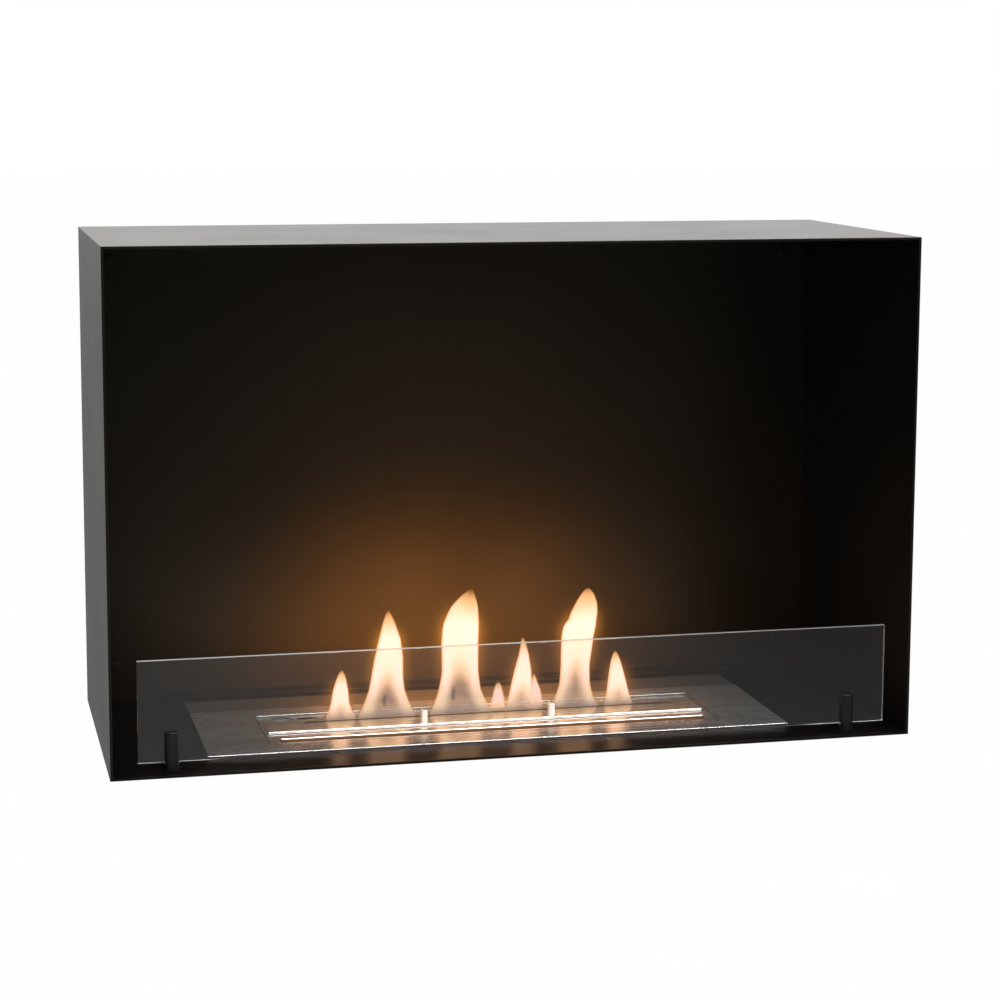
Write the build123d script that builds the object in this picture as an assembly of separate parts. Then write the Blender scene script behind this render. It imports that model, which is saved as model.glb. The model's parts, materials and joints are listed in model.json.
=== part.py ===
from build123d import *
import os

# A wall-hung bioethanol fireplace: a black sheet-steel box open at the front, with a
# stainless burner let into its floor and a low glass pane standing in two slotted posts.
#
# The box is laid out with x across from its middle, y back from its front edge and z up
# from its underside. Each piece is then moved so that the origin is the centre of the
# wall fixings, on the back of the box. The front faces -Y. Sizes are in millimetres.

# Casing
width = 900.0
height = 565.0
depth = 356.0
sheet = 3.0
edge_round = 0.6
back_sheet = 2.0
back_flange = 26.0
angle_leg = 15.0
angle_sheet = 2.0
angle_setback = 12.0

# Wall fixings, a rectangle of holes in the back panel
fixing_radius = 3.5
fixing_from_side = 35.0
fixing_from_end = 38.0

# Rivets that tie the sides to the angles
rivet_radius = 2.4
rivet_head_radius = 4.0
rivet_head_depth = 1.2
rivet_tail_radius = 3.6
rivet_tail_height = 1.4
rivet_from_front = 150.0
rivet_below_top_panel = 6.0

# Glass pane and its posts
glass_height = 112.0
glass_thickness = 5.0
glass_from_side = 27.0
glass_from_front = 23.0
glass_edge = 0.6
glass_clearance = 0.3
glass_slid = 4.0
post_from_side = 67.0
post_radius = 8.0
post_height = 42.0
post_slot_floor = 7.0
post_round = 1.0
pad_height = 1.2
post_screw_radius = 2.5
post_screw_head_radius = 4.6
post_screw_head_depth = 2.2
post_screw_reach = 6.0
screw_clearance = 0.1

# Surround plate of the burner, which lies on the floor, a little left of the middle
burner_off_middle = -8.0
burner_rest_gap = 0.3
surround_length = 665.0
surround_width = 190.0
surround_from_front = 56.0
surround_sheet = 1.5
surround_round = 1.0

# Heat strip, flat on the floor behind the burner
strip_gap = 1.0
strip_from_foot = 24.0
strip_sheet = 1.5
strip_round = 0.5

# Opening in the surround that the burner's pan and air cover lie in
insert_length = 522.0
insert_width = 129.0
insert_setback = 32.0
seam = 1.0

# Fuel tank and the safety tray round it
tank_sheet = 0.8
tank_flange = 12.0
tank_side_gap = 1.2
tank_floor_gap = 2.0
tray_drop = 22.0
cutout_gap = 2.0
spacer_radius = 8.0
spacer_inset = 60.0

# Pan, sunk below the surround, and the air cover in front of it
pan_sheet = 1.2
pan_depth = 2.1
pan_rim_round = 0.55
ledge_leg = 7.0
ledge_sheet = 1.0
air_cover_width = 33.0
air_slot_from_front = 5.0
air_slot_width = 13.0
air_slot_from_end = 13.0
grille_sheet = 1.2
grille_from_slot_end = 2.0
grille_roll_radius = 2.0
grille_roll_sunk = 1.6
grille_drop = 4.4
grille_pitch = 2.4
grille_tooth = 1.2
grille_rail = 1.2

# Flame slot, wick and the shutter that closes the slot
flame_slot_from_filler = 11.0
flame_slot_from_end = 29.0
flame_slot_width = 10.0
flame_slot_setback = 88.0
wick_tray_width = 28.0
wick_tray_beyond_slot = 4.0
wick_tray_height = 20.0
wick_tray_sheet = 0.8
wick_drop = 4.0
wick_hole_radius = 3.0
wick_hole_pitch = 22.0
shutter_sheet = 1.2
shutter_width = 37.0
shutter_step = 9.0
shutter_end_gap = 4.0
shutter_slide_gap = 0.3
shutter_overlap = 1.0
shutter_roll_radius = 1.6
tab_spacing = 150.0
tab_width = 6.0
tab_leg = 9.0
tab_sheet = 1.5
tab_height = 17.0
tab_from_roll = 0.4
pin_spacing = 400.0
pin_radius = 2.0
pin_clearance = 0.1
pin_from_roll = 8.0
pin_head_radius = 3.6
pin_head_height = 1.0

# Filler hole with its neck and plug, and the slot for a level stick beside it
filler_radius = 12.0
filler_from_end = 30.0
filler_from_rear = 16.0
neck_sheet = 1.0
neck_length = 15.0
neck_ledge = 3.0
neck_ledge_height = 1.0
plug_height = 2.1
plug_sunk = 1.6
plug_clearance = 0.3
plug_grip_width = 3.0
plug_grip_depth = 0.8
level_slot_length = 25.0
level_slot_width = 6.0
level_slot_from_filler = 29.5

# Places worked out from the sizes above
half = width / 2
inner_half = half - sheet
floor_top = sheet
ceiling = height - sheet
back_face = depth - back_sheet
angle_inside = -inner_half + angle_sheet
rivet_z = ceiling - rivet_below_top_panel

post_x = half - post_from_side
glass_half = half - glass_from_side
glass_front = glass_from_front - glass_thickness / 2
post_top = floor_top + post_height
slot_floor_z = floor_top + post_slot_floor
glass_bottom = slot_floor_z + pad_height + glass_clearance
slot_half = glass_thickness / 2 + glass_clearance
post_slot_y = (glass_from_front - slot_half, glass_from_front + slot_half)

surround_rear = surround_from_front + surround_width
insert_front = surround_from_front + insert_setback
insert_rear = insert_front + insert_width
insert_half = insert_length / 2
burner_base = floor_top + burner_rest_gap
surround_top = burner_base + 2 * tank_sheet + surround_sheet

tank_half = insert_half - seam / 2
tank_front = insert_front + seam / 2
tank_rear = insert_rear - seam / 2
tray_half = tank_half + tank_sheet + tank_side_gap
tray_front = tank_front - tank_sheet - tank_side_gap
tray_rear = tank_rear + tank_sheet + tank_side_gap
tray_bottom = -tray_drop
tank_bottom = tray_bottom + tank_sheet + tank_floor_gap
cutout_half = tray_half + tank_sheet + cutout_gap
cutout_front = tray_front - tank_sheet - cutout_gap
cutout_rear = tray_rear + tank_sheet + cutout_gap

pan_top = surround_top - pan_depth
pan_under = pan_top - pan_sheet
pan_half = insert_half - seam
pan_front = insert_front + seam + air_cover_width
pan_rear = insert_rear - seam
cover_front = insert_front + seam
air_slot_front = cover_front + air_slot_from_front
air_slot_rear = air_slot_front + air_slot_width
air_slot_half = pan_half - air_slot_from_end

filler_x = -(insert_half - filler_from_end)
filler_y = insert_rear - filler_from_rear
filler_side = filler_x + filler_radius
level_x = filler_x + level_slot_from_filler
plug_top = pan_top - plug_sunk
neck_ledge_top = plug_top - plug_height - plug_clearance

flame_slot_x = (
    filler_side + flame_slot_from_filler,
    insert_half - flame_slot_from_end,
)
flame_slot_half = (flame_slot_x[1] - flame_slot_x[0]) / 2
flame_slot_centre = (flame_slot_x[0] + flame_slot_x[1]) / 2
flame_slot_front = insert_front + flame_slot_setback
flame_slot_rear = flame_slot_front + flame_slot_width
flame_slot_mid = (flame_slot_front + flame_slot_rear) / 2
wick_tray_half = flame_slot_half + wick_tray_beyond_slot

shutter_rear = flame_slot_front - shutter_overlap
shutter_front = shutter_rear - shutter_width
shutter_half = pan_half - pan_sheet - shutter_end_gap
shutter_travel = flame_slot_width + 2 * shutter_overlap
shutter_under = pan_top + shutter_slide_gap
shutter_top = shutter_under + shutter_sheet
pin_y = shutter_front + pin_from_roll

# How a turned piece lies on its place: centred, with its foot there
standing = (Align.CENTER, Align.CENTER, Align.MIN)


def block(x, y, z):
    """A solid block between the low and high value of each axis."""
    size = (x[1] - x[0], y[1] - y[0], z[1] - z[0])
    corner = (Align.MIN, Align.MIN, Align.MIN)
    return Pos(x[0], y[0], z[0]) * Box(*size, align=corner)


def across(half_length, y, z):
    """A block that lies evenly about the middle of the box."""
    return block((-half_length, half_length), y, z)


def upright(radius, x, y, z):
    """An upright cylinder between two heights."""
    return Pos(x, y, z[0]) * Cylinder(radius, z[1] - z[0], align=standing)


def sideways(radius, x, y, z):
    """A cylinder along x between two places."""
    return Pos(x[0], y, z) * Rot(0, 90, 0) * Cylinder(radius, x[1] - x[0], align=standing)


def slotted(length, slot_width, x, y, z, along_y=False):
    """A round-ended slot cutter between two heights."""
    turn = Rot(0, 0, 90 if along_y else 0)
    outline = Pos(x, y, z[0]) * turn * SlotOverall(length, slot_width)
    return extrude(outline, amount=z[1] - z[0], dir=(0, 0, 1))


def mirrored(solid):
    """The same piece on the other side of the middle."""
    return mirror(solid, about=Plane.YZ)


def front_edges(solid, y):
    """The edges of a sheet that lie in the plane of its front edge."""
    return solid.edges().filter_by_position(Axis.Y, y, y, inclusive=(True, True))


def save(name, *solids, off_middle=0.0):
    """Moves a piece, or a group of alike pieces, to the wall fixings' frame and writes it."""
    to_row = Pos(off_middle, -depth, -height / 2)
    placed = [to_row * solid for piece in solids for solid in piece.solids()]
    shape = placed[0] if len(placed) == 1 else Compound(children=placed)
    export_step(shape, f"parts/{name}.step")


def save_burner(name, *solids):
    """Writes a piece that goes with the burner, off the middle of the box."""
    save(name, *solids, off_middle=burner_off_middle)


os.makedirs("parts", exist_ok=True)


# ---- Casing ----

def top_panel():
    panel = across(half, (0, depth), (ceiling, height))
    return fillet(front_edges(panel, 0), edge_round)


def side_panel():
    """The left side, under the top panel."""
    panel = block((-half, -inner_half), (0, depth), (0, ceiling))
    panel = fillet(front_edges(panel, 0), edge_round)
    hole = sideways(rivet_radius, (-half, -inner_half), rivet_from_front, rivet_z)
    return panel - hole - rivet_head()


def floor_panel():
    """The floor, with the burner's cut-out and countersunk holes for the posts' screws."""
    panel = across(inner_half, (0, depth), (0, floor_top))
    panel = fillet(front_edges(panel, 0), edge_round)
    cutout = across(cutout_half, (cutout_front, cutout_rear), (0, floor_top))
    panel -= Pos(burner_off_middle, 0, 0) * cutout
    for x in (-post_x, post_x):
        panel -= upright(post_screw_radius + screw_clearance, x, glass_from_front, (0, floor_top))
        panel -= screw_head(x)
    return panel


def back_panel():
    """The back, with a foot and a head flange whose ends are mitred."""
    panel = across(inner_half, (back_face, depth), (floor_top, ceiling))
    mitre = [
        (-inner_half, back_face),
        (inner_half, back_face),
        (inner_half - back_flange, back_face - back_flange),
        (-inner_half + back_flange, back_face - back_flange),
    ]
    outline = make_face(Polyline(*mitre, close=True))
    foot = extrude(Pos(0, 0, floor_top) * outline, amount=back_sheet, dir=(0, 0, 1))
    head = extrude(Pos(0, 0, ceiling) * outline, amount=back_sheet, dir=(0, 0, -1))
    panel = panel + foot + head
    for x in (-half + fixing_from_side, half - fixing_from_side):
        for z in (fixing_from_end, height - fixing_from_end):
            place = Pos(x, depth, z) * Rot(90, 0, 0)
            panel -= place * Cylinder(fixing_radius, back_sheet, align=standing)
    return panel


def heat_strip():
    """A flat strip as long as the burner's surround, which shields the floor behind it."""
    front = surround_rear + strip_gap
    rear = back_face - back_flange - strip_from_foot
    strip = across(surround_length / 2, (front, rear), (floor_top, floor_top + strip_sheet))
    return fillet(strip.edges().group_by(Axis.Z)[-1], strip_round)


def top_angle():
    """The left corner angle, under the top panel and against the side."""
    x = (-inner_half, -inner_half + angle_leg)
    y = (angle_setback, back_face - back_flange)
    z = (ceiling - angle_leg, ceiling)
    angle = block(x, y, z) - block((angle_inside, x[1]), y, (z[0], z[1] - angle_sheet))
    hole = sideways(rivet_radius, (x[0], angle_inside), rivet_from_front, rivet_z)
    return angle - hole


def rivet_head():
    """The countersunk head of the left rivet, flush with the side."""
    place = Pos(-half, rivet_from_front, rivet_z) * Rot(0, 90, 0)
    return place * Cone(rivet_head_radius, rivet_radius, rivet_head_depth, align=standing)


def side_rivet():
    """The left rivet, headed outside and set over the angle inside."""
    shank = sideways(rivet_radius, (-half, angle_inside), rivet_from_front, rivet_z)
    tail_x = (angle_inside, angle_inside + rivet_tail_height)
    tail = sideways(rivet_tail_radius, tail_x, rivet_from_front, rivet_z)
    return shank + rivet_head() + tail


# ---- Glass pane and posts ----

def glass_pane():
    """The loose pane, slid a little to the right in its posts."""
    glass_back = glass_front + glass_thickness
    pane = across(glass_half, (glass_front, glass_back), (glass_bottom, glass_bottom + glass_height))
    return Pos(glass_slid, 0, 0) * chamfer(pane.edges(), glass_edge)


def glass_post(x):
    """A round post, slotted from its top for the pane and bored below for its screw."""
    post = upright(post_radius, x, glass_from_front, (floor_top, post_top))
    rim = post.edges().filter_by(GeomType.CIRCLE).sort_by(Axis.Z)[-1]
    post = fillet(rim, post_round)
    post -= block((x - post_radius, x + post_radius), post_slot_y, (slot_floor_z, post_top))
    bore_top = floor_top + post_screw_reach
    return post - upright(post_screw_radius, x, glass_from_front, (floor_top, bore_top))


def glass_pad(x):
    """A pad that fills the bottom of a post's slot, inside the post's round."""
    z = (slot_floor_z, slot_floor_z + pad_height)
    slab = block((x - post_radius, x + post_radius), post_slot_y, z)
    return slab & upright(post_radius, x, glass_from_front, z)


def screw_head(x):
    """The countersunk head of a post screw, flush with the underside."""
    cone = Cone(post_screw_head_radius, post_screw_radius, post_screw_head_depth, align=standing)
    return Pos(x, glass_from_front, 0) * cone


def post_screw(x):
    shank = upright(post_screw_radius, x, glass_from_front, (0, floor_top + post_screw_reach))
    return shank + screw_head(x)


# ---- Burner: tank and tray ----

def flanged_box(half_length, y, bottom, flange_under, flange_out):
    """An open box of thin sheet with a flange round its mouth; sizes are its inside."""
    out = tank_sheet
    z = (bottom, flange_under + tank_sheet)
    shell = across(half_length + out, (y[0] - out, y[1] + out), z)
    lip_y = (y[0] - out - flange_out, y[1] + out + flange_out)
    lip = across(half_length + out + flange_out, lip_y, (flange_under, z[1]))
    return shell + lip - across(half_length, y, (bottom + tank_sheet, z[1]))


def safety_tray():
    return flanged_box(tray_half, (tray_front, tray_rear), tray_bottom, burner_base, tank_flange)


def fuel_tank():
    under = burner_base + tank_sheet
    lip = tank_flange + tank_side_gap
    return flanged_box(tank_half, (tank_front, tank_rear), tank_bottom, under, lip)


def tank_spacers():
    """Four round pads between the tank's floor and the tray's."""
    z = (tray_bottom + tank_sheet, tank_bottom)
    y_near = tank_front + insert_width / 4
    y_far = tank_rear - insert_width / 4
    spots = [(x, y) for x in (-1, 1) for y in (y_near, y_far)]
    return [upright(spacer_radius, x * (tank_half - spacer_inset), y, z) for x, y in spots]


def plate_ledges():
    """An angle at each end of the tank, under the ends of the pan and the air cover."""
    x = (-tank_half, -tank_half + ledge_leg)
    y = (tank_front, tank_rear)
    z = (pan_under - ledge_leg, pan_under)
    ledge = block(x, y, z) - block((x[0] + ledge_sheet, x[1]), y, (z[0], z[1] - ledge_sheet))
    return [ledge, mirrored(ledge)]


# ---- Burner: what shows on top ----

def burner_surround():
    """The wide plate, with a rim turned down to the floor all round its outside."""
    outside = surround_length / 2
    plate = across(outside, (surround_from_front, surround_rear), (burner_base, surround_top))
    top_edges = plate.edges().group_by(Axis.Z)[-1]
    plate = fillet(top_edges, surround_round)
    t = surround_sheet
    under = (burner_base, surround_top - t)
    plate -= across(outside - t, (surround_from_front + t, surround_rear - t), under)
    return plate - across(insert_half, (insert_front, insert_rear), (burner_base, surround_top))


def burner_pan():
    """The sunk plate: edges turned up, flame slot, filler hole, level slot, pin slots."""
    t = pan_sheet
    pan = across(pan_half, (pan_front, pan_rear), (pan_under, surround_top))
    pan -= across(pan_half - t, (pan_front + t, pan_rear - t), (pan_top, surround_top))
    pan = fillet(pan.edges().group_by(Axis.Z)[-1], pan_rim_round)
    through = (pan_under, pan_top)
    pan -= slotted(2 * flame_slot_half, flame_slot_width, flame_slot_centre, flame_slot_mid, through)
    pan -= upright(filler_radius, filler_x, filler_y, through)
    pan -= slotted(level_slot_length, level_slot_width, level_x, filler_y, through)
    pin_slot_width = 2 * (pin_radius + pin_clearance)
    pin_slot_mid = pin_y + shutter_travel / 2
    for x in (-pin_spacing / 2, pin_spacing / 2):
        length = pin_slot_width + shutter_travel
        pan -= slotted(length, pin_slot_width, x, pin_slot_mid, through, along_y=True)
    return pan


def front_air_cover():
    """The strip in front of the pan, a shallow channel with the air slot."""
    t = pan_sheet
    cover = across(pan_half, (cover_front, pan_front), (pan_under, surround_top))
    cover -= across(pan_half - t, (cover_front + t, pan_front), (pan_under, surround_top - t))
    through = (surround_top - t, surround_top)
    return cover - across(air_slot_half, (air_slot_front, air_slot_rear), through)


def air_grille():
    """A comb with fine teeth and a rolled top edge, seated on the air slot's rear edge."""
    end = air_slot_half - grille_from_slot_end
    roll_y = air_slot_rear - grille_roll_radius
    roll_z = surround_top - grille_roll_sunk + grille_roll_radius
    front = roll_y - grille_sheet / 2
    rail_bottom = roll_z - grille_rail
    low = surround_top - grille_drop
    teeth = int((2 * end - grille_tooth) // grille_pitch)
    first = -(teeth * grille_pitch + grille_tooth) / 2
    points = [(-end, roll_z), (-end, rail_bottom)]
    for i in range(teeth + 1):
        left = first + i * grille_pitch
        right = left + grille_tooth
        points += [(left, rail_bottom), (left, low), (right, low), (right, rail_bottom)]
    points += [(end, rail_bottom), (end, roll_z)]
    outline = make_face(Plane.XZ * Polyline(*points, close=True))
    comb = extrude(Pos(0, front, 0) * outline, amount=grille_sheet, dir=(0, 1, 0))
    roll = sideways(grille_roll_radius, (-end, end), roll_y, roll_z)
    seat = across(end, (roll_y, air_slot_rear), (surround_top - pan_sheet, surround_top))
    return comb + roll + seat


# ---- Burner: wick and filler ----

def wick_tray():
    """A channel hung under the pan, holed along both sides so that fuel reaches the wick."""
    t = wick_tray_sheet
    y = (flame_slot_mid - wick_tray_width / 2, flame_slot_mid + wick_tray_width / 2)
    z = (pan_under - wick_tray_height, pan_under)
    tray = across(wick_tray_half, y, z)
    tray -= across(wick_tray_half - t, (y[0] + t, y[1] - t), (z[0] + t, z[1]))
    count = int(2 * (wick_tray_half - wick_hole_pitch / 2) // wick_hole_pitch)
    first = -count * wick_hole_pitch / 2
    drills = [
        Pos(first + i * wick_hole_pitch, flame_slot_mid, z[0] + wick_tray_height / 2)
        * Rot(90, 0, 0)
        * Cylinder(wick_hole_radius, wick_tray_width)
        for i in range(count + 1)
    ]
    return Pos(flame_slot_centre, 0, 0) * (tray - drills)


def ceramic_wick():
    t = wick_tray_sheet
    y = (flame_slot_mid - wick_tray_width / 2 + t, flame_slot_mid + wick_tray_width / 2 - t)
    z = (pan_under - wick_tray_height + t, pan_under - wick_drop)
    return Pos(flame_slot_centre, 0, 0) * across(wick_tray_half - t, y, z)


def filler_neck():
    """A short tube under the filler hole with an inner ledge for the plug."""
    outer = filler_radius + neck_sheet
    bottom = pan_under - neck_length
    neck = upright(outer, filler_x, filler_y, (bottom, pan_under))
    neck -= upright(filler_radius, filler_x, filler_y, (bottom, pan_under))
    z = (neck_ledge_top - neck_ledge_height, neck_ledge_top)
    ledge = upright(filler_radius, filler_x, filler_y, z)
    mouth = upright(filler_radius - neck_ledge, filler_x, filler_y, z)
    return neck + (ledge - mouth)


def filler_plug():
    """A disc that drops into the neck, with a groove across it for a coin or key."""
    radius = filler_radius - plug_clearance
    plug = upright(radius, filler_x, filler_y, (plug_top - plug_height, plug_top))
    groove_x = (filler_x - radius / 2, filler_x + radius / 2)
    groove_y = (filler_y - plug_grip_width / 2, filler_y + plug_grip_width / 2)
    return plug - block(groove_x, groove_y, (plug_top - plug_grip_depth, plug_top))


# ---- Flame shutter ----

def shutter_plate():
    """A long plate with a rolled front edge, stepped in at its ends clear of the filler."""
    z = (shutter_under, shutter_top)
    plate = across(shutter_half, (shutter_front, shutter_rear - shutter_step), z)
    tongue_x = (flame_slot_x[0] - shutter_overlap, flame_slot_x[1] + shutter_overlap)
    plate += block(tongue_x, (shutter_rear - shutter_step, shutter_rear), z)
    roll_z = shutter_under + shutter_roll_radius
    plate += sideways(shutter_roll_radius, (-shutter_half, shutter_half), shutter_front, roll_z)
    for x in (-pin_spacing / 2, pin_spacing / 2):
        plate -= upright(pin_radius, x, pin_y, z)
    return plate


def shutter_tab(x):
    """A small upright angle behind the roll, with one leg across and one leg back."""
    left = x - tab_width / 2
    front = shutter_front + shutter_roll_radius + tab_from_roll
    z = (shutter_top, shutter_top + tab_height)
    across_leg = block((left, left + tab_width), (front, front + tab_sheet), z)
    tab = across_leg + block((left, left + tab_sheet), (front, front + tab_leg), z)
    top = tab.edges().group_by(Axis.Z)[-1]
    ends = [top.filter_by(Axis.Y).sort_by(Axis.X)[-1], top.filter_by(Axis.X).sort_by(Axis.Y)[-1]]
    return fillet(ends, tab_width / 4)


def shutter_guide_pins():
    """Pins pressed in the shutter, with heads that hold it down from under the pan."""
    head_top = pan_under - shutter_slide_gap
    head_z = (head_top - pin_head_height, head_top)
    pins = []
    for x in (-pin_spacing / 2, pin_spacing / 2):
        pin = upright(pin_radius, x, pin_y, (head_z[0], shutter_top))
        pins.append(pin + upright(pin_head_radius, x, pin_y, head_z))
    return pins


save("top_panel", top_panel())
save("left_side_panel", side_panel())
save("right_side_panel", mirrored(side_panel()))
save("floor_panel", floor_panel())
save("back_panel", back_panel())
save("left_top_angle", top_angle())
save("right_top_angle", mirrored(top_angle()))
save("side_rivets", side_rivet(), mirrored(side_rivet()))
save("glass_post_left", glass_post(-post_x))
save("glass_post_right", glass_post(post_x))
save("post_screws", post_screw(-post_x), post_screw(post_x))
save("glass_pads", glass_pad(-post_x), glass_pad(post_x))
save("glass_pane", glass_pane())

save_burner("safety_tray", safety_tray())
save_burner("fuel_tank", fuel_tank())
save_burner("tank_spacers", *tank_spacers())
save_burner("plate_ledges", *plate_ledges())
save_burner("burner_surround", burner_surround())
save_burner("burner_pan", burner_pan())
save_burner("front_air_cover", front_air_cover())
save_burner("air_grille", air_grille())
save_burner("wick_tray", wick_tray())
save_burner("ceramic_wick", ceramic_wick())
save_burner("filler_neck", filler_neck())
save_burner("filler_plug", filler_plug())
save_burner("heat_strip", heat_strip())

save_burner("shutter_plate", shutter_plate())
save_burner("shutter_tabs", shutter_tab(-tab_spacing / 2), shutter_tab(tab_spacing / 2))
save_burner("shutter_guide_pins", *shutter_guide_pins())
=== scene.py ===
# %% [markdown]
# # A bioethanol fireplace, dressed for its picture
#
# The solid pieces of this fireplace come packed from CAD, each in its place already: the
# black box, the steel burner in its floor, the pane of glass and its two posts. This
# lesson gives each of them its finish, adds the flames, which are no solids at all, and
# builds a plain studio round them.

# %% Load the fixed frame
import json
import math

import bpy
from mathutils import Matrix, Vector


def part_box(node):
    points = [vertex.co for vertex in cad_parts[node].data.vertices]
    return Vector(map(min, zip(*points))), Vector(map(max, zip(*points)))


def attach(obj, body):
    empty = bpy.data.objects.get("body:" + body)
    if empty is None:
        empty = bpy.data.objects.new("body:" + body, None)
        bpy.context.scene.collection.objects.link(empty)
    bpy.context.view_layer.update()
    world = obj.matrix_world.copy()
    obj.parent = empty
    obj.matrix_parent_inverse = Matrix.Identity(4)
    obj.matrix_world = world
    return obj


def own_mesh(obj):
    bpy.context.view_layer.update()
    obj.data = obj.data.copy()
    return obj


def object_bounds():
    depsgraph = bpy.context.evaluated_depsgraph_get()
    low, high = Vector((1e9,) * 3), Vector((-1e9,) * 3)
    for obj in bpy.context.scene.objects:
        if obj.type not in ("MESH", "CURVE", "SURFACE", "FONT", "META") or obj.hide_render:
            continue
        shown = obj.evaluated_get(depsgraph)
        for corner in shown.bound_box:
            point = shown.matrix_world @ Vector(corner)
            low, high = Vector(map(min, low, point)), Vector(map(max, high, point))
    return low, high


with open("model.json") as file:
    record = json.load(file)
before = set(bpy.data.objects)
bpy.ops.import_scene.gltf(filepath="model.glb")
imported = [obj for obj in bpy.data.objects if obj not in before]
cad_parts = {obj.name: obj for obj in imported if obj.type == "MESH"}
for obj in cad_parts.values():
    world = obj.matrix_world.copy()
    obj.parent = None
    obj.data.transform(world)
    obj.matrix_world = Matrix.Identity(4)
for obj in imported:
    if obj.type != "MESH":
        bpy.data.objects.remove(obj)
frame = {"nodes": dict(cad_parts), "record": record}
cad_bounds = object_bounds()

scene = bpy.context.scene
print("CAD pieces in the frame:", len(frame["nodes"]))

# %% [markdown]
# ## The camera
#
# A photograph's camera can be matched by eye, or solved from the straight edges of the
# object. A box is ideal for solving: its seven visible corners fix where the camera
# stood, which way it looked and how long its lens was. The lens axis lies a little above
# the middle of the picture, which a lens shift repeats without turning the camera.

# %% Place the camera
camera_place = Vector((-0.63003, -2.89808, 0.45006))
camera_azimuth = math.radians(-13.160)
camera_height = math.radians(7.997)
camera_roll = math.radians(0.208)
film_width, lens_length = 36, 88.454
lens_shift = (0.00617, -0.07216)

backward = Vector((
    math.sin(camera_azimuth) * math.cos(camera_height),
    -math.cos(camera_azimuth) * math.cos(camera_height),
    math.sin(camera_height),
))
level_right = (-backward).cross(Vector((0, 0, 1))).normalized()
level_up = backward.cross(level_right)
right = level_right * math.cos(camera_roll) + level_up * math.sin(camera_roll)
up = level_up * math.cos(camera_roll) - level_right * math.sin(camera_roll)

bpy.ops.object.camera_add()
camera = bpy.context.object
camera.name = "camera"
camera_turn = Matrix((right, up, backward)).transposed().to_4x4()
camera.matrix_world = Matrix.Translation(camera_place) @ camera_turn
camera.data.sensor_width = film_width
camera.data.lens = lens_length
camera.data.shift_x, camera.data.shift_y = lens_shift
scene.camera = camera
box_front = Vector((0, cad_bounds[0][1], 0))
print("camera stands", round((camera_place - box_front).length, 2), "m from the box")

# %% [markdown]
# ## A short way to write shader nodes
#
# Materials can be wired by hand, node by node, but formulas such as *rough = 0.4 + 0.1 x
# noise* are easier to read as formulas. `Wire` stands for one output of a node, and
# Python's own arithmetic on it adds the Math nodes. `Sheet` is a node tree with one
# method that adds any other node: settings first, then what goes into its sockets. The
# nodes that come up again and again get a short name of their own, built on that method.

# %% Wires and sheets
class Wire:
    """One output of a shader node, which Python's arithmetic works on."""

    def __init__(self, sheet, socket):
        self.sheet = sheet
        self.socket = socket

    def output(self, name):
        """Another output of the same node."""
        return Wire(self.sheet, self.socket.node.outputs[name])

    def math(self, operation, first, second):
        """A Math node on two values."""
        return self.sheet.node("ShaderNodeMath", {"operation": operation}, {0: first, 1: second})

    def __add__(self, other):
        return self.math("ADD", self, other)

    def __radd__(self, other):
        return self.math("ADD", other, self)

    def __sub__(self, other):
        return self.math("SUBTRACT", self, other)

    def __rsub__(self, other):
        return self.math("SUBTRACT", other, self)

    def __mul__(self, other):
        return self.math("MULTIPLY", self, other)

    def __rmul__(self, other):
        return self.math("MULTIPLY", other, self)

    def __truediv__(self, other):
        return self.math("DIVIDE", self, other)

    def __abs__(self):
        return self.math("ABSOLUTE", self, 0.0)

    def sine(self):
        return self.math("SINE", self, 0.0)


class Sheet:
    """A node tree, and the one way that this lesson adds nodes to it."""

    def __init__(self, owner, end):
        owner.use_nodes = True
        self.tree = owner.node_tree
        self.tree.nodes.clear()
        self.end = self.tree.nodes.new(end)

    def node(self, kind, settings=None, inputs=None, output=0):
        """Any node: its settings, then a value or a wire for each of its sockets."""
        made = self.tree.nodes.new(kind)
        for name, value in (settings or {}).items():
            if name == "stops":
                ramp = made.color_ramp
                while len(ramp.elements) < len(value):
                    ramp.elements.new(0.5)
                for element, (place, colour) in zip(ramp.elements, value):
                    element.position = place
                    element.color = (*colour, 1)
            else:
                setattr(made, name, value)
        for key, value in (inputs or {}).items():
            if isinstance(value, Wire):
                self.tree.links.new(value.socket, made.inputs[key])
            else:
                made.inputs[key].default_value = value
        return Wire(self, made.outputs[output])

    def smooth(self, value, low, high):
        """A soft step: 0 below low, 1 above high."""
        ends = {"Value": value, "From Min": low, "From Max": high}
        return self.node("ShaderNodeMapRange", {"interpolation_type": "SMOOTHSTEP"}, ends)

    def between(self, share, first, second, blend="MIX"):
        """A colour between two others, or one laid over the other."""
        # The Mix node has sockets for numbers and for colours. Colours go in at 6 and 7 and
        # come out at 2.
        settings = {"data_type": "RGBA", "blend_type": blend}
        return self.node("ShaderNodeMix", settings, {0: share, 6: first, 7: second}, output=2)

    def layered(self, share, under, over):
        """A shader over another, which it hides where the share is 1."""
        return self.node("ShaderNodeMixShader", inputs={0: share, 1: under, 2: over})

    def split(self, place):
        """The X, Y and Z of a place or of a direction."""
        x = self.node("ShaderNodeSeparateXYZ", inputs={0: place})
        return x, x.output("Y"), x.output("Z")

    def finish(self, last, into="Surface"):
        """Wires the last node to the end of the tree."""
        self.tree.links.new(last.socket, self.end.inputs[into])


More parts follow.
